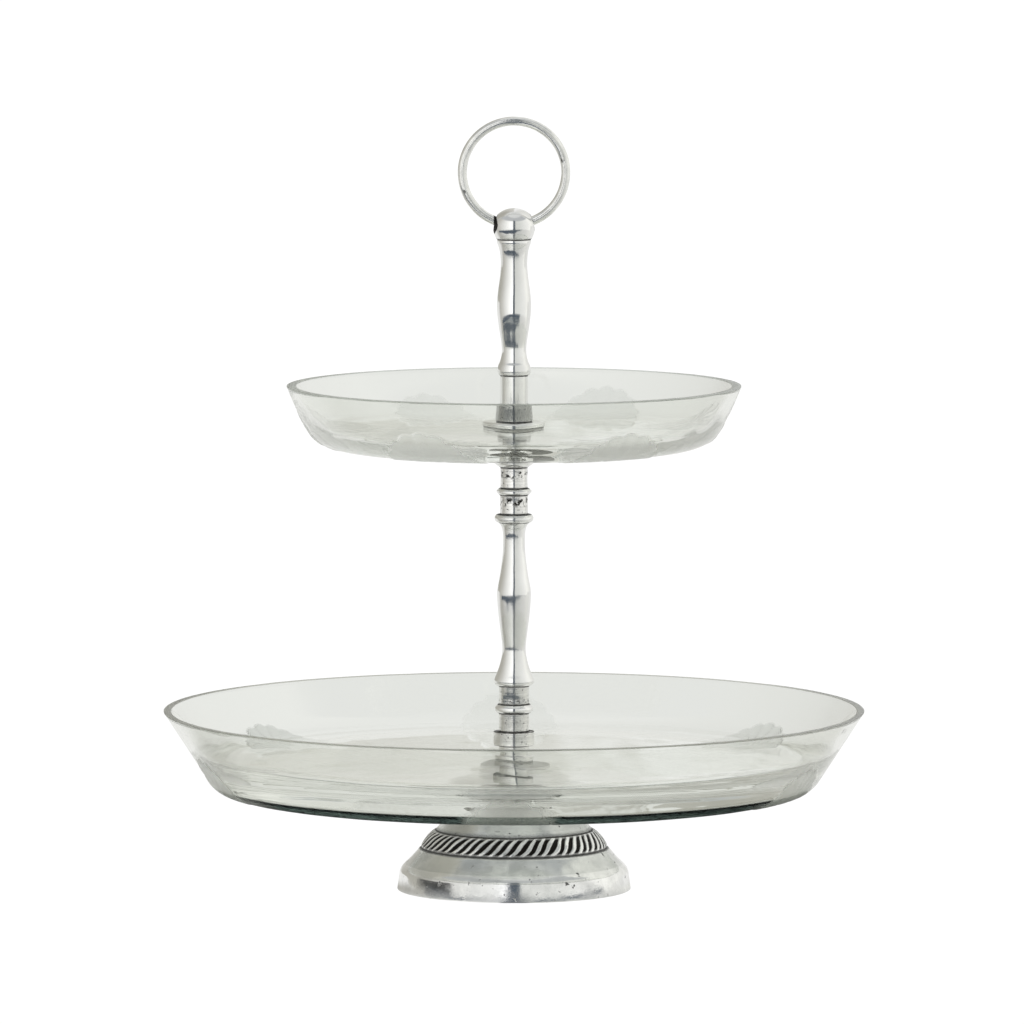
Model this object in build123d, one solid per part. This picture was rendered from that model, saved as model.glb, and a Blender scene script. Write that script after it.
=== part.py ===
from build123d import *
import os

# Tiered cake stand: two glass dishes stacked on a turned aluminium column.
# Origin: centre of the foot's underside. +Z runs up the column. The carrying ring stands
# in the XZ plane, so -Y is the front. Every length is in millimetres.

# Tie rod (M8) and the studs (M6); threads are drawn as plain cylinders
ROD_R = 4.0
ROD_LOW = 29.0
THREAD_GAP = 0.02          # radial, threads that stay done up
RUNNING_GAP = 0.05         # radial and axial, where the handle turns on the rod and the disc
BORE_R = 4.2               # clearance bore of every stacked metal piece
STUD_R = 3.0
THREAD_PITCH = 1.25
TURNS_TO_FREE = 12         # turns of the handle from clamped to almost off the rod
NUT_FLATS, NUT_HEIGHT = 13.0, 6.5
LOCK_WASHER_R, LOCK_WASHER = 7.0, 2.0
PLAIN_WASHER_R, PLAIN_WASHER = 12.0, 1.6
SPLIT_LEAN, SPLIT_GAP = 35, 0.8      # degrees, and the gap of the spring washer's split
GASKET_BORE_R = 4.4

# Foot
FOOT_R = 58.5
SKIRT_R, SKIRT_HIGH = 57.2, 8.5      # top edge of the near-vertical skirt
FOOT_WALL = 3.6
BAND_LOW, BAND_HIGH = (46.7, 21.0), (39.2, 30.0)   # gadroon band, (radius, height)
BAND_BULGE = 1.0
SEAT_R, SEAT_Z = 20.0, 48.4
WEB_Z = 42.0               # underside of the web that the nut pulls on

# Soft washers, glass floors and rims
FOOT_GASKET = 1.0
PILLAR_GASKET = 0.5
SUPPORT_GASKET = 1.0
CLAMP_GASKET = 1.1
GLASS_HOLE_R = 5.5

# Each dish is flat in the middle, then curves up to its rim
LOWER_FLOOR_Z, LOWER_RIM_Z, LOWER_RIM_R, LOWER_RIM_WIDTH = 65.0, 89.8, 175.0, 3.8
LOWER_BASE_R, LOWER_FLOOR_R = 125.0, 119.0
UPPER_BASE_Z, UPPER_FLOOR_Z, UPPER_RIM_Z = 220.6, 228.6, 252.3
UPPER_RIM_R, UPPER_RIM_WIDTH = 113.3, 4.8
UPPER_BASE_R, UPPER_FLOOR_R = 75.0, 84.0

# Column: heights of the joints between its stacked pieces
BASE_FLANGE_HIGH, BASE_NECK_HIGH, COLLAR_TOP = 68.0, 72.2, 79.1
LOWER_BEAD_Z = (88.4, 92.8)
BALUSTER_Z = (102.1, 188.0)
UPPER_BEAD_Z = (197.8, 201.0)
SUPPORT_LOW = 211.6
FLANGE_R, SLEEVE_R, UPPER_SLEEVE_R, TOP_SLEEVE_R = 10.2, 7.6, 7.0, 6.8

# Clamp and handle
DISC_R, DISC_HIGH = 15.5, 233.6
COLLAR_R, COLLAR_HIGH = 9.05, 242.9
TUBE_R, TUBE_HIGH = 6.9, 257.5
SPIGOT_R, SPIGOT_LOW = 6.0, 230.0   # lower end of the tube, through the collar and the disc
LIP_R = 7.2                # rolled lip that keeps the disc on the spigot
HANDLE_HIGH = 325.3
BALL_R, BALL_Z, BALL_TOP = 10.6, 330.8, 340.8
CROSS_HOLE_R, CROSS_HOLE_Z = 4.0, 333.9
RING_R, RING_WIRE_R, RING_Z = 25.75, 2.3, 358.4

# The rod reaches a little further up the handle than the handle has to rise to come off
ROD_HIGH = SPIGOT_LOW + THREAD_PITCH * TURNS_TO_FREE + 1.0
ROD_HOLE_HIGH = ROD_HIGH + 2.0       # end of the tube's tapped hole
TUBE_SOCKET_LOW = ROD_HIGH + 4.5     # blind sockets of the two studs: tube, baluster, ball
BALUSTER_SOCKET_HIGH, BALUSTER_SOCKET_LOW = 271.0, 313.0
BALL_SOCKET_HIGH = 328.9

# Heights that follow from the ones above
FOOT_GASKET_TOP = SEAT_Z + FOOT_GASKET
PILLAR_GASKET_TOP = LOWER_FLOOR_Z + PILLAR_GASKET
SUPPORT_HIGH = UPPER_BASE_Z - SUPPORT_GASKET
CLAMP_GASKET_TOP = UPPER_FLOOR_Z + CLAMP_GASKET
PLAIN_WASHER_LOW = WEB_Z - PLAIN_WASHER
LOCK_WASHER_LOW = PLAIN_WASHER_LOW - LOCK_WASHER
NUT_LOW = LOCK_WASHER_LOW - NUT_HEIGHT


def turned(*edges):
    """Revolves a closed outline, drawn as (radius, height) edges, about the column's axis."""
    return revolve(Plane.XZ * make_face(Wire(edges)), Axis.Z)


def tube(radius, bore, low, high, chamfer_size=0.0):
    """A plain turned ring, with an optional chamfer on its two outer edges."""
    c = chamfer_size
    corners = [(bore, low), (radius - c, low)]
    if c:
        corners += [(radius, low + c), (radius, high - c)]
    corners += [(radius - c, high), (bore, high)]
    return turned(*Polyline(*corners, close=True).edges())


def bar(radius, low, high):
    """A plain upright cylinder."""
    return Pos(0, 0, low) * Cylinder(radius, high - low, align=(Align.CENTER, Align.CENTER, Align.MIN))


def rod(radius, low, high, chamfer_size=0.6):
    """A solid round bar with both ends chamfered."""
    return chamfer(bar(radius, low, high).edges().filter_by(GeomType.CIRCLE), chamfer_size)


def foot():
    shoulder = ThreePointArc((SKIRT_R, SKIRT_HIGH), (56.6, 10.6), (55.0, 12.0))
    slope = ThreePointArc((55.0, 12.0), (50.5, 16.2), BAND_LOW)
    bulge = BAND_BULGE * 0.7
    middle = ((BAND_LOW[0] + BAND_HIGH[0]) / 2 + bulge, (BAND_LOW[1] + BAND_HIGH[1]) / 2 + bulge)
    band = ThreePointArc(BAND_LOW, middle, BAND_HIGH)
    outside = [Line((FOOT_R, 0), (SKIRT_R, SKIRT_HIGH)), shoulder, slope, band]
    outside += Polyline(
        BAND_HIGH, (SEAT_R + 0.6, SEAT_Z - 0.6), (SEAT_R - 0.4, SEAT_Z), (BORE_R, SEAT_Z),
    ).edges()
    hollow = Polyline(
        (BORE_R, SEAT_Z), (BORE_R, WEB_Z), (21.0, WEB_Z), (35.0, 28.0), (42.6, 19.4),
        (51.4, 10.4), (SKIRT_R - FOOT_WALL, 7.0), (FOOT_R - FOOT_WALL, 0), (FOOT_R, 0),
    )
    return turned(*outside, *hollow.edges())


def lower_plate():
    base, floor = (LOWER_BASE_R, FOOT_GASKET_TOP), (LOWER_FLOOR_R, LOWER_FLOOR_Z)
    rim, rim_inner = (LOWER_RIM_R, LOWER_RIM_Z), (LOWER_RIM_R - LOWER_RIM_WIDTH, LOWER_RIM_Z)
    corner, inner_corner = (152.7, 55.3), (160.0, 72.5)
    wall_way = (rim[0] - corner[0], rim[1] - corner[1])
    inner_way = (inner_corner[0] - rim_inner[0], inner_corner[1] - rim_inner[1])
    return turned(
        Line((GLASS_HOLE_R, base[1]), base),
        Spline(base, corner, tangents=[(1, 0), wall_way]),
        *Polyline(corner, rim, rim_inner, inner_corner).edges(),
        Spline(inner_corner, floor, tangents=[inner_way, (-1, 0)]),
        *Polyline(floor, (GLASS_HOLE_R, floor[1]), (GLASS_HOLE_R, base[1])).edges(),
    )


def upper_plate():
    base, floor = (UPPER_BASE_R, UPPER_BASE_Z), (UPPER_FLOOR_R, UPPER_FLOOR_Z)
    rim, rim_inner = (UPPER_RIM_R, UPPER_RIM_Z), (UPPER_RIM_R - UPPER_RIM_WIDTH, UPPER_RIM_Z)
    return turned(
        Line((GLASS_HOLE_R, base[1]), base),
        Spline(base, (102.0, 229.0), rim, tangents=[(1, 0), (0.36, 1)]),
        Line(rim, rim_inner),
        Spline(rim_inner, (98.4, 233.2), floor, tangents=[(-0.36, -1), (-1, 0)]),
        *Polyline(floor, (GLASS_HOLE_R, floor[1]), (GLASS_HOLE_R, base[1])).edges(),
    )


def pillar_base():
    """Flange on the glass, a short neck, and the collar that the column starts from."""
    low, edge = PILLAR_GASKET_TOP, 0.4
    return turned(*Polyline(
        (BORE_R, low), (FLANGE_R, low),
        (FLANGE_R, BASE_FLANGE_HIGH - edge), (FLANGE_R - edge, BASE_FLANGE_HIGH),
        (SLEEVE_R, BASE_FLANGE_HIGH), (SLEEVE_R, BASE_NECK_HIGH), (FLANGE_R - edge, BASE_NECK_HIGH),
        (FLANGE_R, BASE_NECK_HIGH + edge), (FLANGE_R, COLLAR_TOP - edge), (FLANGE_R - edge, COLLAR_TOP),
        (BORE_R, COLLAR_TOP), close=True,
    ).edges())


def pillar_baluster():
    low, high = BALUSTER_Z
    return turned(
        ThreePointArc((SLEEVE_R, low), (10.07, low + 2.3), (8.4, low + 6.0)),
        Spline((8.4, low + 6.0), (6.0, 116.9), (6.0, 123.9), (7.5, 134.9), (8.5, 147.9), (7.5, 155.0),
               (5.7, 167.0), (5.7, 177.0), (7.8, high - 4.2)),
        ThreePointArc((7.8, high - 4.2), (9.65, high - 2.1), (7.8, high)),
        *Polyline((7.8, high), (BORE_R, high), (BORE_R, low), (SLEEVE_R, low)).edges(),
    )


def plate_support():
    """Flange that flares out under the upper dish."""
    return turned(*Polyline(
        (BORE_R, SUPPORT_LOW), (7.0, SUPPORT_LOW), (9.6, SUPPORT_LOW + 1.7), (10.0, SUPPORT_LOW + 2.4),
        (10.0, SUPPORT_HIGH), (BORE_R, SUPPORT_HIGH), close=True,
    ).edges())


def rod_nut():
    """M8 hex nut; its corners are chamfered at both ends."""
    low, high, flats = NUT_LOW, LOCK_WASHER_LOW, NUT_FLATS / 2
    corners, fall = flats + 1.1, 0.6
    hexagon = extrude(Plane.XY.offset(low) * RegularPolygon(flats, 6, major_radius=False), NUT_HEIGHT)
    rounded = turned(*Polyline(
        (0, low), (flats, low), (corners, low + fall), (corners, high - fall), (flats, high), (0, high),
        close=True,
    ).edges())
    return (hexagon & rounded) - bar(ROD_R + THREAD_GAP, low, high)


def lock_washer():
    """Spring washer, flat under load, with its slanted split."""
    bore, middle = ROD_R + THREAD_GAP, LOCK_WASHER_LOW + LOCK_WASHER / 2
    split = Pos((LOCK_WASHER_R + bore) / 2, 0, middle) * Rot(SPLIT_LEAN, 0, 0) * Box(6, SPLIT_GAP, 6)
    return tube(LOCK_WASHER_R, bore, LOCK_WASHER_LOW, PLAIN_WASHER_LOW) - split


def clamp_disc():
    """Pressure disc; its counterbore hides the tube's rolled lip."""
    low, high = CLAMP_GASKET_TOP, DISC_HIGH - RUNNING_GAP
    bore, lip_bore = SPIGOT_R + 0.3, LIP_R + 0.3
    return turned(*Polyline(
        (lip_bore, low), (DISC_R - 0.4, low), (DISC_R, low + 0.4), (DISC_R, high - 0.7), (DISC_R - 0.7, high),
        (bore, high), (bore, low + 1.8), (lip_bore, low + 1.8), close=True,
    ).edges())


def handle_tube():
    """Threaded spigot through the collar and the disc, and the plain tube above them."""
    low, lip_high = SPIGOT_LOW, SPIGOT_LOW + 1.0
    thread, stud = ROD_R + RUNNING_GAP, STUD_R + THREAD_GAP
    return turned(*Polyline(
        (thread, low), (LIP_R, low), (LIP_R, lip_high), (SPIGOT_R, lip_high), (SPIGOT_R, COLLAR_HIGH),
        (TUBE_R, COLLAR_HIGH), (TUBE_R, TUBE_HIGH), (stud, TUBE_HIGH), (stud, TUBE_SOCKET_LOW),
        (0, TUBE_SOCKET_LOW), (0, ROD_HOLE_HIGH), (thread, ROD_HOLE_HIGH), close=True,
    ).edges())


def handle_baluster():
    low, high, stud = TUBE_HIGH, HANDLE_HIGH, STUD_R + THREAD_GAP
    return turned(
        ThreePointArc((TUBE_R, low), (8.1, low + 3.2), (7.2, low + 6.2)),
        Spline((7.2, low + 6.2), (6.0, 270.2), (7.0, 278.8), (8.5, 292.0), (7.5, 303.2), (6.5, 313.3),
               (7.3, 320.0)),
        ThreePointArc((7.3, 320.0), (8.5, 323.0), (8.3, high)),
        *Polyline(
            (8.3, high), (stud, high), (stud, BALUSTER_SOCKET_LOW), (0, BALUSTER_SOCKET_LOW),
            (0, BALUSTER_SOCKET_HIGH), (stud, BALUSTER_SOCKET_HIGH), (stud, low), (TUBE_R, low),
        ).edges(),
    )


def finial_ball():
    """Ball with a flattened top, a stud socket and the cross hole for the ring."""
    ball = Pos(0, 0, BALL_Z) * Sphere(BALL_R)
    slab = Pos(0, 0, HANDLE_HIGH) * Box(
        3 * BALL_R, 3 * BALL_R, BALL_TOP - HANDLE_HIGH, align=(Align.CENTER, Align.CENTER, Align.MIN))
    socket = bar(STUD_R + THREAD_GAP, HANDLE_HIGH, BALL_SOCKET_HIGH)
    cross_hole = Pos(0, 0, CROSS_HOLE_Z) * Rot(0, 90, 0) * Cylinder(CROSS_HOLE_R, 3 * BALL_R)
    return (ball & slab) - socket - cross_hole


def ring_handle():
    return Pos(0, 0, RING_Z) * Rot(90, 0, 0) * Torus(RING_R, RING_WIRE_R)


PIECES = {
    "foot": foot(),
    "foot_gasket": tube(17.0, GASKET_BORE_R, SEAT_Z, FOOT_GASKET_TOP),
    "lower_plate": lower_plate(),
    "pillar_gasket": tube(9.9, GASKET_BORE_R, LOWER_FLOOR_Z, PILLAR_GASKET_TOP),
    "pillar_base": pillar_base(),
    "lower_sleeve": tube(SLEEVE_R, BORE_R, COLLAR_TOP, LOWER_BEAD_Z[0]),
    "lower_bead": tube(9.6, BORE_R, *LOWER_BEAD_Z, chamfer_size=0.9),
    "middle_sleeve": tube(SLEEVE_R, BORE_R, LOWER_BEAD_Z[1], BALUSTER_Z[0]),
    "pillar_baluster": pillar_baluster(),
    "upper_sleeve": tube(UPPER_SLEEVE_R, BORE_R, BALUSTER_Z[1], UPPER_BEAD_Z[0]),
    "upper_bead": tube(8.7, BORE_R, *UPPER_BEAD_Z, chamfer_size=0.7),
    "top_sleeve": tube(TOP_SLEEVE_R, BORE_R, UPPER_BEAD_Z[1], SUPPORT_LOW),
    "plate_support": plate_support(),
    "support_gasket": tube(9.8, GASKET_BORE_R, SUPPORT_HIGH, UPPER_BASE_Z),
    "upper_plate": upper_plate(),
    "clamp_gasket": tube(15.0, LIP_R + 0.6, UPPER_FLOOR_Z, CLAMP_GASKET_TOP),
    "clamp_disc": clamp_disc(),
    "clamp_collar": tube(COLLAR_R, SPIGOT_R + THREAD_GAP, DISC_HIGH, COLLAR_HIGH, chamfer_size=0.6),
    "handle_tube": handle_tube(),
    "handle_stud": rod(STUD_R, TUBE_SOCKET_LOW + 0.5, BALUSTER_SOCKET_HIGH - 1.0),
    "handle_baluster": handle_baluster(),
    "finial_stud": rod(STUD_R, BALUSTER_SOCKET_LOW + 1.0, BALL_SOCKET_HIGH - 0.3),
    "finial_ball": finial_ball(),
    "ring_handle": ring_handle(),
    "tie_rod": rod(ROD_R, ROD_LOW, ROD_HIGH),
    "plain_washer": tube(PLAIN_WASHER_R, BORE_R, PLAIN_WASHER_LOW, WEB_Z),
    "lock_washer": lock_washer(),
    "rod_nut": rod_nut(),
}

os.makedirs("parts", exist_ok=True)
for name, piece in PIECES.items():
    export_step(piece, f"parts/{name}.step")
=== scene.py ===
import math

import bpy
import numpy as np
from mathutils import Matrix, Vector


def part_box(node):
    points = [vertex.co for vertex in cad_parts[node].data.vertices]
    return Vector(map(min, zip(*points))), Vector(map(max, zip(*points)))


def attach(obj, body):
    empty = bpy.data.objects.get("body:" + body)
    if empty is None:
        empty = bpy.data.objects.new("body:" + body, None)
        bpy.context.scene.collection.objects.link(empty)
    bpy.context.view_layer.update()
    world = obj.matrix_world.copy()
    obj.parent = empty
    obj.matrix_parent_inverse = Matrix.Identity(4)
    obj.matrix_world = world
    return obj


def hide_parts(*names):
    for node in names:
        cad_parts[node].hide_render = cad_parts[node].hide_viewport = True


# Tiered cake stand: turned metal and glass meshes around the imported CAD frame.
# Outlines are written in millimetres and become metres when a mesh is made.
MM = 0.001
FRONT = math.radians(-90)          # azimuth of the side that faces the camera, counted from +X

# Turned pieces
TURN_STEPS = 128
ROD_BORE = 4.2                     # bore of the pieces that are stacked on the tie rod
SLEEVE_EDGE = 0.35                 # softness of a sleeve's edges

# Ball and ring
BALL_CENTRE, BALL_R = 332.2, 10.56
BALL_DEPTH = 12.0                  # height of the half ellipse below the ball's middle
CROSS_HOLE_Z, CROSS_HOLE_R = 333.9, 4.0
WIRE_R = 2.3

# Glass dishes
MEDALLION_R = 26.0                 # reach of a pressed flower, from its middle to a petal's tip
PETALS = 16
SCALLOP = 1.7                      # how far a petal's tip stands past the notches beside it
PETAL_RELIEF = 0.35
LOWER_HEEL = (134.0, 151.3)        # radii between which the lower dish's underside turns up
# The flowers, one by one: azimuth in degrees, from the front towards +X; millimetres that the middle lies
# further up the wall than the dish's usual place; painted shade on its frost and its crispness, from 0 to 1
LOWER_FLOWERS = ((-1, -5, 0.0, 0.2), (66, -3, 0.0, 1), (126, 1, 0.6, 1), (181, 11, 0.2, 1), (-126, 0, 0.8, 1),
                 (-74, 0, 0.1, 1))
UPPER_FLOWERS = ((33, -6, 0, 1), (97, -2, 0.2, 1), (154, 2, 0.35, 1), (-154, -2, 0.3, 1), (-90, -1, 0.2, 1),
                 (-26, -5, 0, 1))

# Foot
GADROONS = 54
GADROON_LEAN = 2.0                 # pitches that a gadroon moves sideways on its way up
GADROON_DEPTH = 0.25
BAND_LOW, BAND_HIGH = np.array([46.7, 21.0]), np.array([39.2, 30.0])

# Studio, in metres
DARKNESS = (0.085, 0.105, 0.13, 1.0)
TABLE_RADIUS = 0.56
PANEL_RADIUS = 1.0
PANEL_LOW, PANEL_HIGH = 0.044, 0.75
EYE, TARGET, LENS = (-0.001, -5.45, 0.703), (-0.001, 0.0, 0.189), 386
# Brightness of the walls round the stand: azimuth in degrees from the front towards +X, then colour
SIDES = (
    (-180, 0.7, 0.69, 0.65), (-150, 0.44, 0.43, 0.385), (-115, 0.47, 0.46, 0.41), (-85, 0.62, 0.61, 0.57),
    (-55, 0.88, 0.88, 0.85), (-25, 1.18, 1.18, 1.15), (-7, 1.25, 1.25, 1.25), (7, 0.72, 0.73, 0.7),
    (40, 0.8, 0.81, 0.78), (75, 0.92, 0.92, 0.89), (100, 1.05, 1.05, 1.0), (130, 0.9, 0.9, 0.86),
    (165, 0.78, 0.78, 0.75), (180, 0.7, 0.69, 0.65),
)

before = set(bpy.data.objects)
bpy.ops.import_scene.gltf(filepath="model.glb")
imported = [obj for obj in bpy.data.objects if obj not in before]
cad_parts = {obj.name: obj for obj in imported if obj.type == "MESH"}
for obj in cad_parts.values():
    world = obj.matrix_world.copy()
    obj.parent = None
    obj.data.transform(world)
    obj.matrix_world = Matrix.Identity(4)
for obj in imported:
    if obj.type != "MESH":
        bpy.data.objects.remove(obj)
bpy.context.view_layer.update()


# ---------------------------------------------------------------- outlines

def span(node):
    """Lowest and highest height and the outer radius of a CAD node, in millimetres."""
    low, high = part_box(node)
    return low[2] / MM, high[2] / MM, high[0] / MM


def rounded(corners, steps=5):
    """A polyline with soft corners. Each corner is (radius, height) or (radius, height, softening)."""
    points = []
    for k, corner in enumerate(corners):
        here = np.array(corner[:2], float)
        soft = corner[2] if len(corner) > 2 else 0.0
        if not soft or k in (0, len(corners) - 1):
            points.append(here)
            continue
        back = np.array(corners[k - 1][:2], float) - here
        on = np.array(corners[k + 1][:2], float) - here
        start = here + back / np.linalg.norm(back) * soft
        end = here + on / np.linalg.norm(on) * soft
        for t in np.linspace(0, 1, steps):
            points.append((1 - t) ** 2 * start + 2 * t * (1 - t) * here + t ** 2 * end)
    return np.array(points)


def smooth(points, steps=8):
    """A curve through the points (Catmull-Rom), with the given number of steps from one to the next."""
    p = np.array(points, float)
    p = np.vstack([2 * p[0] - p[1], p, 2 * p[-1] - p[-2]])
    out = []
    for k in range(1, len(p) - 2):
        for t in np.arange(steps) / steps:
            out.append(0.5 * (
                2 * p[k] + (p[k + 1] - p[k - 1]) * t
                + (2 * p[k - 1] - 5 * p[k] + 4 * p[k + 1] - p[k + 2]) * t ** 2
                + (3 * p[k] - p[k - 1] - 3 * p[k + 1] + p[k + 2]) * t ** 3
            ))
    out.append(p[-2])
    return np.array(out)


def hermite(start, start_way, end, end_way, steps):
    """A curve between two points that leaves and arrives along the given ways."""
    a, b = np.array(start, float), np.array(end, float)
    reach = np.linalg.norm(b - a)
    u = np.array(start_way, float) / np.linalg.norm(start_way) * reach
    v = np.array(end_way, float) / np.linalg.norm(end_way) * reach
    t = np.linspace(0, 1, steps + 1)[:, None]
    return ((2 * t ** 3 - 3 * t ** 2 + 1) * a + (t ** 3 - 2 * t ** 2 + t) * u
            + (3 * t ** 2 - 2 * t ** 3) * b + (t ** 3 - t ** 2) * v)


def line(start, end, steps):
    return np.linspace(np.array(start, float), np.array(end, float), steps + 1)


def dense(outline, step):
    """The same outline with no stretch longer than the step."""
    outline = np.array(outline, float)
    runs = []
    for start, end in zip(outline[:-1], outline[1:]):
        count = max(1, math.ceil(np.linalg.norm(end - start) / step))
        runs.append(line(start, end, count)[:-1])
    return np.vstack(runs + [outline[-1:]])


def joined(*runs):
    """One outline from runs that meet end to start."""
    points = [runs[0]]
    for run in runs[1:]:
        same = np.allclose(points[-1][-1], run[0], atol=1e-6)
        points.append(run[1:] if same else run)
    return np.vstack(points)


# ---------------------------------------------------------------- meshes

def even_angles(count):
    return np.arange(count) * 2 * math.pi / count


def normals_of(loop):
    """Outward normals of a closed outline that runs anticlockwise in (radius, height)."""
    way = np.roll(loop, -1, axis=0) - np.roll(loop, 1, axis=0)
    normal = np.stack([way[:, 1], -way[:, 0]], axis=1)
    return normal / np.maximum(np.linalg.norm(normal, axis=1, keepdims=True), 1e-9)


def ring_faces(rows, columns):
    """Faces between the points of a grid that closes on itself both ways."""
    i, j = np.meshgrid(np.arange(rows), np.arange(columns), indexing="ij")
    i_on, j_on = (i + 1) % rows, (j + 1) % columns
    faces = np.stack([i * columns + j, i * columns + j_on, i_on * columns + j_on, i_on * columns + j], axis=2)
    return faces.reshape(-1, 4)


def lathe(name, loop, angles, relief=None, sharp_deg=35):
    """Closed mesh of a closed outline turned about Z. relief is a grid of heights along the normals."""
    loop = np.array(loop, float)
    if np.allclose(loop[0], loop[-1]):
        loop = loop[:-1]
    rows, columns = len(loop), len(angles)
    r, z = (np.repeat(loop[:, k:k + 1], columns, axis=1) for k in (0, 1))
    if relief is not None:
        normal = normals_of(loop)
        r = r + relief * normal[:, 0:1]
        z = z + relief * normal[:, 1:2]
    points = np.stack([r * np.cos(angles), r * np.sin(angles), z], axis=2).reshape(-1, 3) * MM
    return mesh_object(name, points, ring_faces(rows, columns), sharp_deg)


def mesh_object(name, points, faces, sharp_deg=35):
    mesh = bpy.data.meshes.new(name)
    mesh.from_pydata(points.tolist(), [], faces.tolist())
    mesh.polygons.foreach_set("use_smooth", [True] * len(mesh.polygons))
    mesh.set_sharp_from_angle(angle=math.radians(sharp_deg))
    mesh.update()
    piece = bpy.data.objects.new(name, mesh)
    bpy.context.scene.collection.objects.link(piece)
    return piece


def points_of(mesh):
    """The mesh's points as rows of x, y and z, in millimetres."""
    at = np.zeros(len(mesh.vertices) * 3)
    mesh.vertices.foreach_get("co", at)
    return at.reshape(-1, 3) / MM


def mark(piece, name, grid):
    """Stores one number per mesh point, for the materials to read."""
    layer = piece.data.attributes.new(name, "FLOAT", "POINT")
    layer.data.foreach_set("value", np.ascontiguousarray(grid, dtype=np.float32).ravel())


def ease(edge_low, edge_high, value):
    """0 below the first edge, 1 above the second, smooth between."""
    t = np.clip((value - edge_low) / (edge_high - edge_low), 0, 1)
    return t * t * (3 - 2 * t)


def ripple(x, y, z, seed, longest, shortest, waves=14):
    """Gentle unevenness from -1 to 1, as a sum of seeded sine waves. Lengths in millimetres."""
    rng = np.random.default_rng(seed)
    total = np.zeros_like(x)
    for _ in range(waves):
        way = rng.normal(size=3)
        way /= np.linalg.norm(way)
        length = longest * (shortest / longest) ** rng.random()
        phase = rng.random() * 2 * math.pi
        total += np.sin((way[0] * x + way[1] * y + way[2] * z) * 2 * math.pi / length + phase)
    return total / math.sqrt(waves)


def place(piece, node, material, body="stand"):
    """The piece stands for a CAD node, moves with its body and takes the given material."""
    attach(piece, body)
    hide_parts(node)
    piece.data.materials.append(material)
    return piece


# ---------------------------------------------------------------- material helpers

class Nodes:
    """A short way to write a node tree."""

    def __init__(self, name, world=None):
        if world:
            self.owner = world
            world.use_nodes = True
        else:
            self.owner = bpy.data.materials.new(name)
            self.owner.use_nodes = True
        self.tree = self.owner.node_tree
        self.tree.nodes.clear()

    def add(self, kind, inputs=None, **settings):
        """A new node. Each input is another node's socket, which is linked, or a plain value."""
        node = self.tree.nodes.new(kind)
        for key, value in settings.items():
            setattr(node, key, value)
        for key, value in (inputs or {}).items():
            if isinstance(value, bpy.types.NodeSocket):
                self.tree.links.new(value, node.inputs[key])
            else:
                node.inputs[key].default_value = value
        return node

    def math(self, operation, a, b=0.5, clamp=False):
        node = self.add("ShaderNodeMath", {0: a, 1: b}, operation=operation)
        node.use_clamp = clamp
        return node.outputs[0]

    def remap(self, value, low, high, to_low=0.0, to_high=1.0, smooth_step=True):
        node = self.add("ShaderNodeMapRange", {
            "Value": value, "From Min": low, "From Max": high, "To Min": to_low, "To Max": to_high})
        node.interpolation_type = "SMOOTHSTEP" if smooth_step else "LINEAR"
        return node.outputs[0]

    def mix(self, factor, a, b):
        return self.add("ShaderNodeMix", {0: factor, 6: a, 7: b}, data_type="RGBA").outputs[2]

    def noise(self, coordinates, scale, detail=2.0, roughness=0.5, stretch=(1, 1, 1)):
        if stretch != (1, 1, 1):
            coordinates = self.add("ShaderNodeMapping", {"Vector": coordinates, "Scale": stretch}).outputs[0]
        return self.add("ShaderNodeTexNoise", {
            "Vector": coordinates, "Scale": scale, "Detail": detail, "Roughness": roughness}).outputs["Fac"]

    def object_coordinates(self):
        return self.add("ShaderNodeTexCoord").outputs["Object"]

    def attribute(self, name):
        return self.add("ShaderNodeAttribute", attribute_name=name, attribute_type="GEOMETRY").outputs["Fac"]

    def bump(self, height, distance, strength=1.0):
        inputs = {"Height": height, "Distance": distance, "Strength": strength}
        return self.add("ShaderNodeBump", inputs).outputs[0]

    def seam_grime_and_shade(self, at):
        """The seams' dirt, and the painted shade in the finial ball's cross hole, a little broken up."""
        patches = self.remap(self.noise(at, 420, 2), 0.25, 0.6, 0.45, 1.0)
        return self.math("MULTIPLY", self.attribute("grime_and_shade"), patches, clamp=True)

    def metal(self, colour, dirt_and_shade, roughness, height, distance, strength=0.5):
        """Bare metal that the dirt and the painted shade cover."""
        return self.surface(
            Base_Color=self.mix(dirt_and_shade, colour, GRIME_AND_SHADE), Metallic=self.math("SUBTRACT", 1.0, dirt_and_shade),
            Roughness=roughness, Specular_IOR_Level=0.15, Normal=self.bump(height, distance, strength))

    def not_mirrored(self):
        """1 for a ray that nothing has reflected yet. Only the studio uses it."""
        return self.math("LESS_THAN", self.add("ShaderNodeLightPath").outputs["Glossy Depth"], 0.5)

    def glow(self, colour):
        """A surface of the studio that only gives light."""
        self.surface(Base_Color=rgb(0, 0, 0), Roughness=1.0, Specular_IOR_Level=0.0,
                     Emission_Color=colour, Emission_Strength=1.0)

    def surface(self, **inputs):
        """Principled shader on the output. Names of the sockets are written with underscores."""
        shader = self.add("ShaderNodeBsdfPrincipled", {k.replace("_", " "): v for k, v in inputs.items()})
        self.output = self.add("ShaderNodeOutputMaterial", {"Surface": shader.outputs[0]})
        return self.owner


def rgb(r, g, b):
    return (r, g, b, 1.0)


# ---------------------------------------------------------------- materials

# Near-black for the dirt at seams and pits, and for the painted shade in the ball's cross hole and on the
# ring there
GRIME_AND_SHADE = rgb(0.012, 0.01, 0.008)


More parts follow.
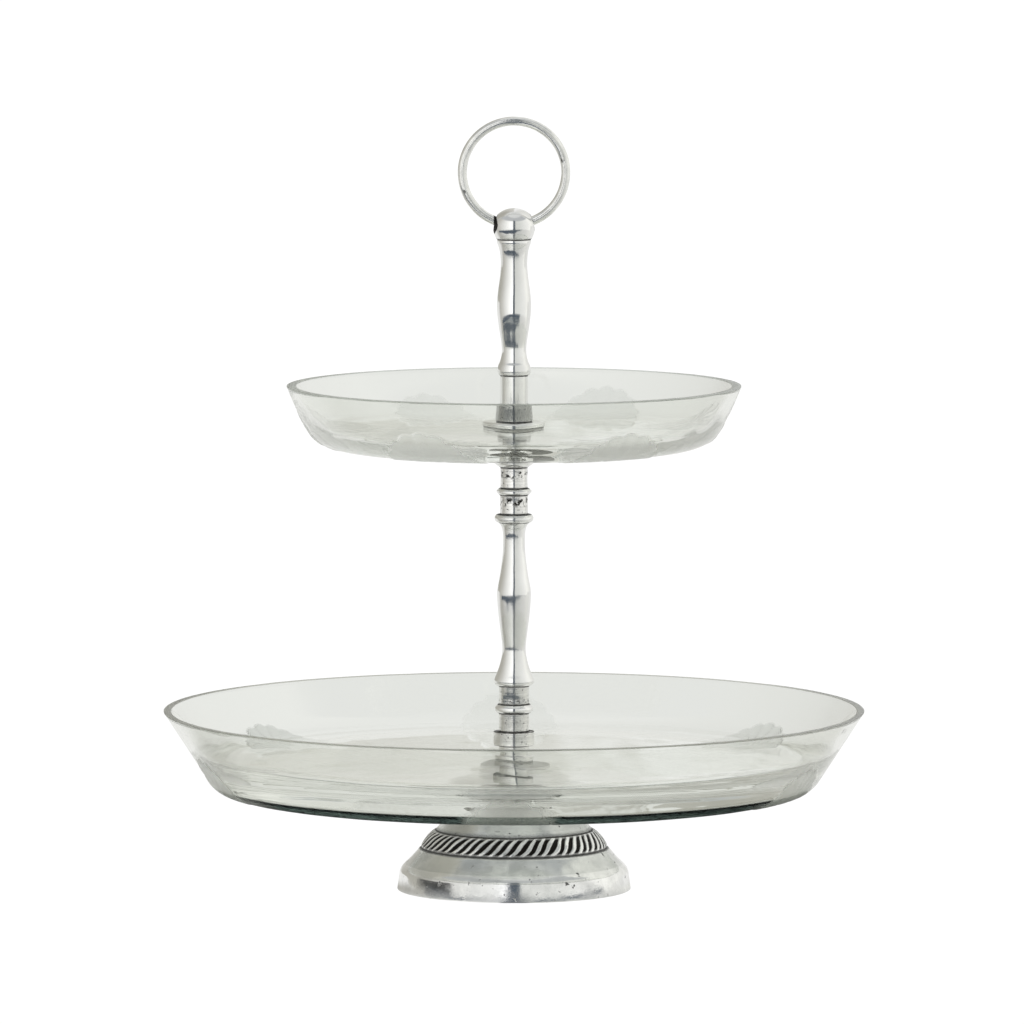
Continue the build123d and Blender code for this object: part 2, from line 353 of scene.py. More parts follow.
def polished_metal():
    """Mirror-polished aluminium: soft waves from hand polishing, hairlines, dark seams."""
    n = Nodes("polished_aluminium")
    at = n.object_coordinates()
    cloud = n.noise(at, 55, 3)
    hair = n.noise(at, 260, 2, 0.6, stretch=(1, 1, 9))
    wave = n.noise(at, 75, 1)
    grime_and_shade = n.seam_grime_and_shade(at)
    colour = n.mix(n.remap(cloud, 0.35, 0.7), rgb(0.83, 0.83, 0.82), rgb(0.9, 0.9, 0.895))
    rough = n.math("ADD", n.remap(cloud, 0.3, 0.75, 0.15, 0.08), n.remap(hair, 0.55, 0.8, 0.0, 0.12))
    rough = n.math("ADD", rough, n.math("MULTIPLY", grime_and_shade, 0.45), clamp=True)
    height = n.math("ADD", wave, n.math("MULTIPLY", hair, 0.02))
    return n.metal(colour, grime_and_shade, rough, height, 0.0006)


def turned_metal():
    """Turned aluminium: faint rings from the tool, small pits, and black specks in its tool marks."""
    n = Nodes("turned_aluminium")
    at = n.object_coordinates()
    rings = n.noise(at, 70, 4, 0.7, stretch=(0.5, 0.5, 16))
    cloud = n.noise(at, 160, 3)
    pits = n.remap(n.noise(at, 900, 1), 0.66, 0.74)
    specks = n.math("MULTIPLY", n.remap(n.noise(at, 520, 3, 0.6), 0.5, 0.6), n.attribute("smudge"))
    grime_and_shade = n.seam_grime_and_shade(at)
    dirt_and_shade = n.math("MAXIMUM", n.math("MAXIMUM", grime_and_shade, specks), n.math("MULTIPLY", pits, 0.75))
    colour = n.mix(n.remap(rings, 0.35, 0.65), rgb(0.74, 0.735, 0.72), rgb(0.88, 0.875, 0.86))
    # A darker tone, which the collar takes all over.
    tarnished_and_shaded = n.mix(cloud, rgb(0.22, 0.23, 0.23), rgb(0.5, 0.5, 0.49))
    colour = n.mix(n.attribute("tarnish_and_shade"), colour, tarnished_and_shaded)
    rough = n.math("ADD", n.remap(cloud, 0.3, 0.7, 0.13, 0.06), n.math("MULTIPLY", dirt_and_shade, 0.5), clamp=True)
    height = n.math("SUBTRACT", rings, n.math("MULTIPLY", pits, 0.8))
    return n.metal(colour, dirt_and_shade, rough, height, 0.00004)


def cast_metal():
    """Polished casting of the foot: stains, painted shade on the slopes, casting pits and black in the
    recesses.
    """
    n = Nodes("cast_aluminium")
    at = n.object_coordinates()
    stain = n.noise(at, 42, 5, 0.65)
    fine = n.noise(at, 230, 4, 0.6)
    streak = n.noise(at, 70, 3, 0.6, stretch=(1, 1, 5))
    pits = n.remap(n.noise(at, 330, 2, 0.5), 0.68, 0.74)
    dirt_and_shade = n.math("MAXIMUM", n.attribute("grime_and_shade"), n.math("MULTIPLY", pits, 0.8))
    clean = n.remap(stain, 0.35, 0.65)
    colour = n.mix(clean, rgb(0.73, 0.735, 0.73), rgb(0.95, 0.95, 0.945))
    # The foot's slopes turn to this darker tone as painted shade.
    tarnished_and_shaded = n.mix(clean, rgb(0.4, 0.42, 0.41), rgb(0.62, 0.64, 0.62))
    colour = n.mix(n.attribute("tarnish_and_shade"), colour, tarnished_and_shaded)
    rough = n.math("ADD", n.remap(stain, 0.35, 0.7, 0.2, 0.06), n.remap(streak, 0.5, 0.75, 0.0, 0.1))
    rough = n.math("ADD", rough, n.math("MULTIPLY", dirt_and_shade, 0.4), clamp=True)
    height = n.math("ADD", n.math("MULTIPLY", fine, 0.25), stain)
    height = n.math("SUBTRACT", height, n.math("MULTIPLY", pits, 0.5))
    return n.metal(colour, dirt_and_shade, rough, height, 0.00028)


def plain_metal(name, colour, rough_low, rough_high):
    """Steel of the ring and the hidden fasteners, with faint scratches."""
    n = Nodes(name)
    at = n.object_coordinates()
    cloud = n.noise(at, 140, 4, 0.6)
    scratch = n.noise(at, 320, 3, 0.7, stretch=(1, 6, 1))
    rough = n.remap(cloud, 0.3, 0.7, rough_low, rough_high)
    rough = n.math("ADD", rough, n.remap(scratch, 0.55, 0.8, 0.0, 0.1))
    shade = n.mix(n.remap(cloud, 0.35, 0.7), rgb(*(0.82 * c for c in colour)), rgb(*colour))
    height = n.math("ADD", cloud, n.math("MULTIPLY", scratch, 0.15))
    # The mark read here also carries the ring's painted shade where the wire passes into the ball.
    return n.metal(shade, n.attribute("grime_and_shade"), rough, height, 0.0003, 0.4)


def clear_glass():
    """Pressed glass: clear walls, frosted flowers with fine cuts along their petals and painted shade on
    some, ground rim, and a dark reflection painted where the lower dish's underside turns up at the front."""
    n = Nodes("clear_glass")
    at = n.object_coordinates()
    frost = n.attribute("frost")
    rim = n.attribute("rim")
    cuts = n.math("SINE", n.math("MULTIPLY", n.attribute("petal_edge"), 2 * math.pi / 1.5))
    grain = n.noise(at, 1500, 2, 0.6)
    wave = n.noise(at, 26, 1)
    rough = n.math("MAXIMUM", n.math("MULTIPLY", frost, 0.3), n.math("MULTIPLY", rim, 0.3))
    petal_cuts = n.math("MULTIPLY", n.math("MULTIPLY", cuts, frost), 0.06)
    ground = n.math("MULTIPLY", n.math("MULTIPLY", grain, n.math("MAXIMUM", frost, rim)), 0.2)
    height = n.math("ADD", n.math("ADD", petal_cuts, ground), n.math("MULTIPLY", wave, 0.35))
    # Painted reflection: dark mottled glass where the lower dish's underside turns up at the front, a
    # near-black line at its edge, and dark grains in the frost there.
    painted_heel_reflection = n.attribute("painted_heel_reflection")
    mottle = n.remap(n.noise(at, 90, 3, 0.6, stretch=(1, 1, 3)), 0.35, 0.65)
    painted_reflection_glass = n.mix(mottle, rgb(0.002, 0.0045, 0.0042), rgb(0.014, 0.026, 0.023))
    colour = n.mix(painted_heel_reflection, rgb(0.935, 0.945, 0.92), painted_reflection_glass)
    colour = n.mix(n.attribute("painted_heel_line"), colour, rgb(0.0003, 0.0005, 0.0005))
    frost_in_painted_reflection = n.mix(n.remap(grain, 0.4, 0.6), rgb(0.07, 0.09, 0.08), rgb(0.24, 0.27, 0.24))
    # Painted shade: the frost of some flowers, mostly those on the far side, is darker.
    frost_with_painted_shade = n.mix(n.attribute("frost_painted_shade"), rgb(0.93, 0.94, 0.91), rgb(0.5, 0.53, 0.49))
    colour = n.mix(frost, colour, n.mix(painted_heel_reflection, frost_with_painted_shade, frost_in_painted_reflection))
    rim_colour = n.mix(n.attribute("upper"), rgb(0.3, 0.31, 0.26), rgb(0.5, 0.55, 0.5))
    colour = n.mix(rim, colour, rim_colour)
    n.surface(Base_Color=colour, Roughness=rough, IOR=1.5, Transmission_Weight=1.0,
              Normal=n.bump(height, 0.0005, 0.6))
    depth = n.add("ShaderNodeVolumeAbsorption", {"Color": rgb(0.717, 0.747, 0.69), "Density": 1.7})
    n.tree.links.new(depth.outputs[0], n.output.inputs["Volume"])
    return n.owner


def pale_silicone():
    n = Nodes("pale_silicone")
    cloud = n.noise(n.object_coordinates(), 300, 3)
    return n.surface(
        Base_Color=n.mix(n.remap(cloud, 0.3, 0.7), rgb(0.62, 0.62, 0.58), rgb(0.72, 0.72, 0.68)),
        Roughness=n.remap(cloud, 0.3, 0.7, 0.5, 0.7), Normal=n.bump(cloud, 0.0002, 0.3))


# ---------------------------------------------------------------- the column and the handle

def grime_near(loop, angles, heights, reach):
    """Dark seams: 1 at the given heights, fading over the reach."""
    z = loop[:, 1:2]
    mask = np.zeros_like(z)
    for height in heights:
        mask = np.maximum(mask, 1 - ease(reach * 0.25, reach, np.abs(z - height)))
    return np.repeat(mask, len(angles), axis=1)


def turned_piece(node, outline, material, seams, reach=0.7, bore=ROD_BORE, body="stand"):
    """A turned ring. The outline is its outside, from the bottom up, and the bore closes it."""
    outline = dense(outline, 0.5)
    low, high = outline[0][1], outline[-1][1]
    loop = np.vstack([[bore, low], outline, [bore, high]])
    angles = even_angles(TURN_STEPS)
    piece = lathe(f"{node}_turned", loop, angles)
    mark(piece, "grime_and_shade", grime_near(loop, angles, seams, reach))
    return place(piece, node, material, body)


def sleeve(node, material, belly=0.0, specks=None):
    """Plain ring between two joints, with soft edges, a dark seam at each end and a slight waist."""
    low, high, radius = span(node)
    middle, edge = (low + high) / 2, SLEEVE_EDGE
    side = smooth([(radius, low + edge), (radius - belly, middle), (radius, high - edge)], 10)
    outline = np.vstack([[radius - 2 * edge, low], [radius - edge * 0.4, low + edge * 0.25], side,
                         [radius - edge * 0.4, high - edge * 0.25], [radius - 2 * edge, high]])
    piece = turned_piece(node, outline, material, (low, high))
    if specks:
        speck_low, speck_high = specks
        z = points_of(piece.data)[:, 2] - low
        mark(piece, "smudge", ease(speck_low - 1, speck_low + 1, z) * ease(speck_high + 1, speck_high - 1, z))


def column(polished, turned):
    """The pieces stacked on the tie rod between the dishes, from the bottom up."""
    low, high, flange_r = span("pillar_base")
    neck_r = span("lower_sleeve")[2]
    outline = rounded([
        (flange_r - 0.6, low), (flange_r, low, 0.25), (flange_r, 68.0, 0.35), (neck_r, 68.0, 0.3),
        (neck_r, 72.2, 0.3), (flange_r, 72.2, 0.4), (flange_r, high, 0.45), (flange_r - 1.6, high)])
    turned_piece("pillar_base", outline, turned, (72.1, high), reach=0.45)
    sleeve("lower_sleeve", turned)

    low, high, radius = span("lower_bead")
    outline = rounded([(neck_r - 0.4, low), (radius - 1.3, low, 0.3), (radius, low + 1.3, 0.7),
                       (radius, high - 1.6, 0.8), (radius - 1.6, high, 0.3), (neck_r - 0.4, high)])
    turned_piece("lower_bead", outline, polished, (low, high), reach=0.4)
    sleeve("middle_sleeve", turned, belly=0.1, specks=(0.5, 2.5))

    low, high, radius = span("pillar_baluster")
    outline = smooth([
        (7.3, low), (8.9, low + 0.25), (9.85, low + 1.2), (radius - 0.15, low + 2.4), (9.7, low + 3.7),
        (8.7, low + 6.1), (7.4, low + 9.6), (6.4, low + 13.6), (5.85, low + 17.8), (6.05, low + 21.8),
        (6.6, low + 26.2), (7.45, low + 32.8), (8.1, low + 39.0), (8.5, low + 45.8), (8.15, low + 49.4),
        (7.35, low + 53.6), (6.6, low + 58.4), (6.0, low + 63.0), (5.55, low + 68.0), (5.5, low + 75.0),
        (5.9, low + 78.4), (6.7, low + 80.4), (7.6, high - 4.3), (7.75, high - 3.95), (8.6, high - 3.9),
        (9.45, high - 3.1), (9.7, high - 2.0), (9.35, high - 0.8), (8.5, high - 0.1), (6.6, high)], 6)
    turned_piece("pillar_baluster", outline, polished, (low, high - 4.1, high), reach=0.4)
    sleeve("upper_sleeve", turned, belly=0.1, specks=(4.5, 8.5))

    low, high, radius = span("upper_bead")
    outline = rounded([(6.6, low), (radius - 1.2, low, 0.3), (radius, low + 1.2, 0.8),
                       (radius, high - 1.2, 0.8), (radius - 1.2, high, 0.3), (6.4, high)])
    turned_piece("upper_bead", outline, polished, (low, high), reach=0.4)
    sleeve("top_sleeve", turned, belly=0.1, specks=(5.5, 9.0))

    low, high, radius = span("plate_support")
    outline = rounded([(6.2, low), (7.2, low, 0.2), (9.3, low + 1.4, 0.9), (radius, low + 2.6, 0.5),
                       (radius, high, 0.3), (radius - 1.5, high)])
    turned_piece("plate_support", outline, polished, (low, high), reach=0.5)


def clamp_and_handle(polished, turned):
    """Disc, collar, tube and baluster above the upper dish."""
    low, high, radius = span("clamp_disc")
    outline = rounded([(7.5, low), (radius - 0.3, low, 0.25), (radius, low + 0.5, 0.3),
                       (radius, high - 1.0, 0.6), (radius - 1.2, high, 0.6), (7.0, high)])
    turned_piece("clamp_disc", outline, polished, (low, low - 0.2), bore=6.3, body="clamp")

    low, high, radius = span("clamp_collar")
    outline = rounded([(7.4, low), (radius - 0.5, low, 0.2), (radius, low + 0.6, 0.3),
                       (radius, high - 0.8, 0.4), (radius - 0.8, high, 0.3), (6.95, high)])
    collar = turned_piece("clamp_collar", outline, turned, (low, high), bore=6.02, body="handle")
    mark(collar, "tarnish_and_shade", np.full(len(collar.data.vertices), 0.8))

    low, high, _ = span("handle_tube")
    shoulder = span("clamp_collar")[1]
    outline = rounded([(7.2, low), (7.2, low + 1.0), (6.0, low + 1.0), (6.0, shoulder), (6.9, shoulder, 0.15),
                       (6.9, high, 0.2), (6.3, high)])
    turned_piece("handle_tube", outline, polished, (shoulder, high), 0.5, bore=4.05, body="handle")

    low, high, _ = span("handle_baluster")
    outline = smooth([
        (6.3, low), (7.5, low + 0.15), (8.15, low + 1.2), (8.25, low + 3.0), (7.85, low + 5.0),
        (7.0, low + 6.9), (6.35, low + 9.6), (6.1, low + 12.7), (6.35, low + 16.0), (6.9, low + 19.8),
        (7.5, low + 23.6), (8.05, low + 27.8), (8.45, low + 32.0), (8.5, low + 36.5), (8.1, low + 41.2),
        (7.5, low + 45.6), (6.95, low + 50.0), (6.6, low + 54.6), (6.7, low + 58.4), (7.15, low + 62.0),
        (7.8, low + 64.4), (8.4, low + 66.0), (8.45, high - 0.5), (8.2, high - 0.1), (6.6, high)], 6)
    turned_piece("handle_baluster", outline, polished, (low, high), 0.5, bore=3.02, body="handle")


def cross_hole_drill():
    """The cross hole's shape: a tube along X that widens towards its left mouth."""
    turn = even_angles(64)
    stations = ((-14.0, -3.5, 6.4), (-8.8, 0.0, CROSS_HOLE_R), (14.0, 0.0, CROSS_HOLE_R))   # x, y, radius
    points = np.array([(x, y + size * math.cos(a), CROSS_HOLE_Z + size * math.sin(a))
                       for x, y, size in stations for a in turn])
    points *= MM
    count = len(turn)
    sides = []
    for start in (0, count):
        for k in range(count):
            on = (k + 1) % count
            sides.append([start + k, start + on, start + count + on, start + count + k])
    ends = [list(range(count))[::-1], list(range(2 * count, 3 * count))]
    mesh = bpy.data.meshes.new("drill")
    mesh.from_pydata(points.tolist(), [], sides + ends)
    drill = bpy.data.objects.new("drill", mesh)
    bpy.context.scene.collection.objects.link(drill)
    return drill


def drilled(piece, drill):
    """Cuts the drill out of the piece, and removes the drill."""
    cut = piece.modifiers.new("cross_hole", "BOOLEAN")
    cut.operation, cut.object, cut.solver = "DIFFERENCE", drill, "EXACT"
    bpy.context.view_layer.update()
    mesh = bpy.data.meshes.new_from_object(piece.evaluated_get(bpy.context.evaluated_depsgraph_get()))
    piece.modifiers.clear()
    piece.data = mesh
    bpy.data.objects.remove(drill)
    mesh.polygons.foreach_set("use_smooth", [True] * len(mesh.polygons))
    mesh.set_sharp_from_angle(angle=math.radians(35))


def finial_ball(material):
    """Ball, wide and a little flat on top; the cross hole is cut through it, and painted shade darkens the
    hole and its left mouth.
    """
    low, high, _ = span("finial_ball")
    height_above = high - BALL_CENTRE
    tilts = np.linspace(-math.asin((BALL_CENTRE - low - 0.1) / BALL_DEPTH), math.radians(88), 52)
    heights = np.where(tilts < 0, BALL_DEPTH, height_above) * np.sin(tilts)
    side = np.stack([BALL_R * np.cos(tilts), BALL_CENTRE + heights], axis=1)
    loop = np.vstack([[0.35, low], [side[0][0] - 0.4, low], side, [0.35, high]])
    ball = lathe("finial_ball_turned", loop, even_angles(160))
    drilled(ball, cross_hole_drill())
    x, y, z = points_of(ball.data).T
    seam = 1 - ease(0.15, 0.7, z - low)
    # Painted shade: the inside of the cross hole and a patch round its left mouth are marked dark.
    in_hole = np.hypot(y, z - CROSS_HOLE_Z) < CROSS_HOLE_R + 0.05
    inside = np.hypot(np.hypot(x, y) / BALL_R, (z - BALL_CENTRE) / height_above) < 0.985
    on_mouth = np.hypot(y / 6.6, (z - 332.4) / 4.3) < 1
    painted_shade_mouth = (x < -6) & (inside & (z > BALL_CENTRE - 5) | on_mouth)
    mark(ball, "grime_and_shade", np.maximum(seam, np.maximum(1.0 * in_hole, 2.5 * painted_shade_mouth)))
    place(ball, "finial_ball", material, "handle")


def carrying_ring(material):
    """Wire ring with a fine groove along its front, which jumps across the wire at two small kinks."""
    low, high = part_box("ring_handle")
    centre_z = (low[2] + high[2]) / 2 / MM
    mean = (high[0] - low[0]) / 2 / MM - WIRE_R
    around, across = even_angles(360), even_angles(48)
    a, b = np.meshgrid(around, across, indexing="ij")
    along, round_wire = np.degrees(a), np.degrees(b)
    jump = ease(103, 106, along) * ease(292, 289, along)
    groove = np.maximum(0, 1 - np.abs(round_wire - 262 - 20 * jump) / 9)
    kink_right = np.hypot((along - 104.5) / 3.2, (round_wire - 238) / 20)
    kink_left = np.hypot((along - 290.5) / 3.2, (round_wire - 285) / 20)
    kink = 1 - ease(0.5, 1.0, np.minimum(kink_right, kink_left))
    thin = WIRE_R - 0.03 + 0.03 * np.sin(3 * a + 0.6) - 0.14 * groove
    radius = mean + thin * np.cos(b) - 0.04 * (1 + np.sin(2 * a))
    points = np.stack([radius * np.sin(a), thin * np.sin(b), centre_z - radius * np.cos(a)], axis=2)
    ring = mesh_object("carrying_ring", points.reshape(-1, 3) * MM, ring_faces(*a.shape))
    # Painted shade: the wire is darkened where it passes into the ball's cross hole on the left.
    painted_shade_in_hole = (points[:, :, 0] < -8.4) & (points[:, :, 0] > -10.1) & (points[:, :, 2] < 341)
    mark(ring, "grime_and_shade", np.maximum(1.0 * painted_shade_in_hole, np.maximum(0.3 * groove, 0.8 * kink)))
    place(ring, "ring_handle", material, "ring")


# ---------------------------------------------------------------- foot

def foot(material):
    """Hollow casting with a band of slanted gadroons, black between the ridges, and painted shade on the
    slopes.
    """
    low, high, base_r = span("foot")
    skirt = rounded([(54.9, low), (base_r - 0.1, low, 0.5), (base_r - 1.3, 8.5, 0.0)])
    shoulder = hermite(skirt[-1], (-0.15, 1), (54.6, 12.6), (-1, 0.9), 8)
    slope = hermite(shoulder[-1], (-1, 0.9), BAND_LOW + (0.5, -0.45), (-1, 1.25), 16)
    bow = np.sin(np.linspace(0, math.pi, 27))[:, None] * np.array([0.62, 0.52])
    band = line(BAND_LOW, BAND_HIGH, 26) + bow
    cone = line(BAND_HIGH + (-0.5, 0.45), (20.8, 47.8), 14)
    top = rounded([(20.8, 47.8), (20.2, high, 0.4), (4.2, high)])
    inside = rounded([(4.2, high), (4.2, 42.0), (21.0, 42.0, 1.5), (35.0, 28.0, 2), (42.6, 19.4, 2),
                      (51.4, 10.4, 1.5), (53.6, 7.0, 1), (54.9, low)])
    loop = joined(skirt, shoulder, slope, band, cone, top, inside)[:-1]
    angles = even_angles(GADROONS * 13)

    r, z = loop[:, 0:1], loop[:, 1:2]
    outside_rows = sum(len(run) for run in (skirt, shoulder, slope, band, cone))
    outside = (np.arange(len(loop)) < outside_rows)[:, None]
    up = np.clip((z - BAND_LOW[1]) / (BAND_HIGH[1] - BAND_LOW[1]), 0, 1)
    in_band = outside & (z >= BAND_LOW[1] - 0.01) & (z <= BAND_HIGH[1] + 0.01)
    s_bend = 0.12 * np.sin((up - 0.5) * 2 * math.pi)
    rng = np.random.default_rng(7)
    uneven = np.interp(angles, np.linspace(0, 2 * math.pi, GADROONS + 1),
                       np.append(rng.normal(0, 0.07, GADROONS), 0.0))
    phase = angles * GADROONS / (2 * math.pi) - GADROON_LEAN * up + s_bend + uneven
    ends = ease(0.02, 0.16, up) * ease(0.02, 0.14, 1 - up)
    wider = 0.14 * ease(0.1, 0.9, -np.cos(angles))
    cut = ease(0.36 - wider, 0.5 - wider, 0.5 - 0.5 * np.cos(2 * math.pi * phase)) * ends
    low_border = 1 - ease(0.25, 0.75, np.abs(z - BAND_LOW[1]))
    high_border = 1 - ease(0.2, 0.65, np.abs(z - BAND_HIGH[1]))
    border = np.maximum(low_border, high_border) * outside
    ridge = np.where(in_band, 0.2 * (1 - cut) * ends, 0.0)
    relief = ridge - np.where(in_band, GADROON_DEPTH * cut, 0.0) - 0.3 * border
    x, y = r * np.cos(angles), r * np.sin(angles)
    relief = relief + np.where(outside & (z > 1), 0.09, 0.0) * ripple(x, y, z + 0 * x, 3, 45, 9)
    piece = lathe("foot_cast", loop, angles, relief, 50)
    mark(piece, "grime_and_shade", np.clip(np.where(in_band, cut, 0.0) + 0.95 * border * np.ones_like(x), 0, 1))
    # Painted shade: the slopes are darkened evenly all round.
    slopes = outside & ~in_band & (z > 13)
    mark(piece, "tarnish_and_shade", 0.5 * slopes * np.ones_like(x))
    place(piece, "foot", material)


# ---------------------------------------------------------------- glass

def flower_angles(flowers, half_deg, fine_deg, coarse_deg):
    """Azimuths for a dish's mesh: close together across each flower, wider between."""
    centres = np.sort(np.mod(FRONT + np.radians(flowers), 2 * math.pi))
    half = math.radians(half_deg)
    angles = []
    for k, centre in enumerate(centres):
        on = centres[(k + 1) % len(centres)] + (2 * math.pi if k == len(centres) - 1 else 0)
        angles.append(np.arange(centre - half, centre + half, math.radians(fine_deg)))
        gap = on - centre - 2 * half
        steps = max(2, round(gap / math.radians(coarse_deg)))
        angles.append(centre + half + gap * np.arange(steps) / steps)
    return np.concatenate(angles)


def dish(node, outside, rim, inside, middle_row, flowers, painted_heel_reflection, fine, material, seed):
    """A glass dish. middle_row is the outline row of the outside that the flowers are centred on. The heel
    argument is the stretch of radii where the underside turns up, if a dark reflection is to be painted
    there;
    that is done on the front half only. fine is the mesh's step in degrees across a flower."""
    loop = joined(outside, rim, inside)[:-1]
    half = math.degrees((MEDALLION_R + 3) / outside[middle_row][0])
    angles = flower_angles([flower[0] for flower in flowers], half, fine, 2.2 * fine)
    rows = np.arange(len(loop))[:, None]
    steps = np.linalg.norm(np.diff(loop, axis=0, append=loop[:1]), axis=1)
    along = (np.concatenate([[0], np.cumsum(steps)[:-1]]) - steps[:middle_row].sum())[:, None]
    r, z = loop[:, 0:1], loop[:, 1:2]
    outer = rows < len(outside)

    flower = np.zeros((len(loop), len(angles)))
    edge = np.full_like(flower, -1.0)
    frost, painted_flower_shade = np.zeros_like(flower), np.zeros_like(flower)
    # Each flower's darkness is painted shade on its frost.
    for azimuth, climb, painted_shade_amount, crisp in flowers:
        turn = angles - (FRONT + math.radians(azimuth))
        turn = (turn + math.pi) % (2 * math.pi) - math.pi
        across = turn * r
        reach = np.hypot(across, along - climb)
        bearing = np.arctan2(across, along - climb)
        lobe = np.abs(np.cos(PETALS * bearing / 2))
        tip = MEDALLION_R + SCALLOP * (lobe - 1)
        height = (0.35 + 0.65 * lobe ** 0.8) * ease(0, 1.6, tip - reach) * ease(3.5, 6.5, reach)
        heart = ease(0, 2.5, 5.2 - reach)
        near = outer & (reach < MEDALLION_R + 2)
        flower = np.where(near, np.maximum(flower, crisp * np.maximum(height, heart)), flower)
        frost = np.where(near, np.maximum(frost, ease(0, 0.8 + 6 * (1 - crisp), tip - reach)), frost)
        edge = np.where(near, np.maximum(edge, tip - reach), edge)
        painted_flower_shade = np.where(near, painted_shade_amount, painted_flower_shade)
    x, y = r * np.cos(angles), r * np.sin(angles)
    free = ease(7, 20, r)
    z = z + 0 * x
    outer_waves = 0.04 * ripple(x, y, z, seed, 110, 30)
    inner_waves = 0.05 * ripple(x, y, z, seed + 1, 60, 14)
    relief = PETAL_RELIEF * flower + free * np.where(outer, outer_waves, inner_waves)
    on_rim = (rows >= len(outside) - 1) & (rows < len(outside) + len(rim) - 4)
    relief = np.where(on_rim, np.minimum(relief, 0), relief)
    piece = lathe(f"{node}_glass", loop, angles, relief, 40)
    mark(piece, "frost", frost)
    mark(piece, "petal_edge", edge)
    mark(piece, "frost_painted_shade", painted_flower_shade)
    if painted_heel_reflection:
        low, high = painted_heel_reflection
        # Painted reflection: the front half of the turn-up is coloured dark in the glass, with a near-black
        # line along its outer edge.
        front = ease(0.1, 0.65, np.cos(angles - FRONT))
        turn_up = outer * ease(high + 0.9, high + 0.5, r) * front
        mark(piece, "painted_heel_reflection", turn_up * ease(low, low + 5, r))
        mark(piece, "painted_heel_line", turn_up * ease(high - 1.4, high - 0.5, r) * (1 - ease(-1, 0, edge)))
    mark(piece, "upper", np.full(edge.shape, float(node == "upper_plate")))
    mark(piece, "rim", np.repeat(on_rim, len(angles), axis=1))
    place(piece, node, material)


def lower_dish(material):
    base, rim_z, rim_r = span("lower_plate")
    floor, rim_width, hole = 65.0, 3.8, 5.5
    corner, inner_corner, halfway = (152.7, 55.3), (160.0, 72.5), (167.0, 77.4)
    wall = (rim_r - corner[0], rim_z - corner[1])
    top = np.array([rim_r, rim_z]) - 0.35 * np.array(wall) / np.linalg.norm(wall)
    flat = line((hole, base), (120.0, base), 16)
    bend = hermite((120.0, base), (1, 0), corner, wall, 40)
    low_wall = line(corner, halfway, 28)
    outside = joined(flat, bend, low_wall, line(halfway, top, 6)[:-1], line(top - (0.06, 0.1), top, 1))
    inner_edge = np.array([rim_r - rim_width - 0.23, rim_z - 0.35])
    rim = rounded([tuple(top), (rim_r, rim_z, 0.25), (rim_r - rim_width, rim_z, 0.25), tuple(inner_edge),
                   tuple(inner_edge - (0.06, 0.1))], 4)
    inner_way = (inner_corner[0] - rim_r + rim_width, inner_corner[1] - rim_z)
    inside = joined(line(rim[-1], inner_corner, 7),
                    hermite(inner_corner, inner_way, (119.0, floor), (-1, 0), 18),
                    line((119.0, floor), (hole, floor), 12), line((hole, floor), (hole, base), 2))
    middle = len(flat) - 1 + 31
    dish("lower_plate", outside, rim, inside, middle, LOWER_FLOWERS, LOWER_HEEL, 0.42, material, 11)


def upper_dish(material):
    base, rim_z, rim_r = span("upper_plate")
    floor, rim_width, hole = 228.6, 4.8, 5.5
    flat = line((hole, base), (74.0, base), 12)
    bend = hermite((74.0, base), (1, 0), (102.0, 229.0), (1, 1.55), 36)
    wall = hermite((102.0, 229.0), (1, 1.55), (rim_r - 0.1, rim_z - 0.35), (0.36, 1), 30)
    outside = joined(flat, bend, wall[:-1], wall[-1:] - (0.04, 0.1), wall[-1:])
    inner_edge = np.array([rim_r - rim_width - 0.12, rim_z - 0.35])
    rim = rounded([tuple(outside[-1]), (rim_r, rim_z, 0.25), (rim_r - rim_width, rim_z, 0.25),
                   tuple(inner_edge), tuple(inner_edge - (0.04, 0.1))], 4)
    corner = (98.4, 233.2)
    inside = joined(hermite(rim[-1], (-0.36, -1), corner, (-1, -1.3), 16),
                    hermite(corner, (-1, -1.3), (84.0, floor), (-1, 0), 12),
                    line((84.0, floor), (hole, floor), 8), line((hole, floor), (hole, base), 2))
    middle = len(flat) - 1 + 22
    dish("upper_plate", outside, rim, inside, middle, UPPER_FLOWERS, None, 0.6, material, 23)


# ---------------------------------------------------------------- pieces kept from the CAD

def finish_cad_nodes(steel, silicone):
    """Materials for the hidden fasteners and gaskets, whose CAD shapes stay."""
    finishes = {
        steel: ("tie_rod", "handle_stud", "finial_stud", "plain_washer", "lock_washer", "rod_nut"),
        silicone: ("foot_gasket", "pillar_gasket", "support_gasket", "clamp_gasket"),
    }
    for material, nodes in finishes.items():
        for node in nodes:
            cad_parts[node].data.materials.clear()
            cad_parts[node].data.materials.append(material)


# ---------------------------------------------------------------- studio

def wall_colour(n, azimuth, brightness=1.0):
    """The walls' colour at an azimuth, from the table of sides."""
    ramp = n.add("ShaderNodeValToRGB", {0: n.remap(azimuth, -math.pi, math.pi, smooth_step=False)})
    stops = ramp.color_ramp.elements
    for k, (degrees, *colour) in enumerate(SIDES):
        stop = stops[k] if k < len(stops) - 1 else stops.new(1.0)
        stop.position = (degrees + 180) / 360
        stop.color = rgb(*(brightness * c for c in colour))
    return ramp.outputs[0]


def azimuth_of(n, vector):
    """Azimuth from the front towards +X, in radians, and the vector's Z."""
    way = n.add("ShaderNodeSeparateXYZ", {0: vector})
    return n.math("ARCTAN2", way.outputs[0], n.math("MULTIPLY", way.outputs[1], -1.0)), way.outputs[2]


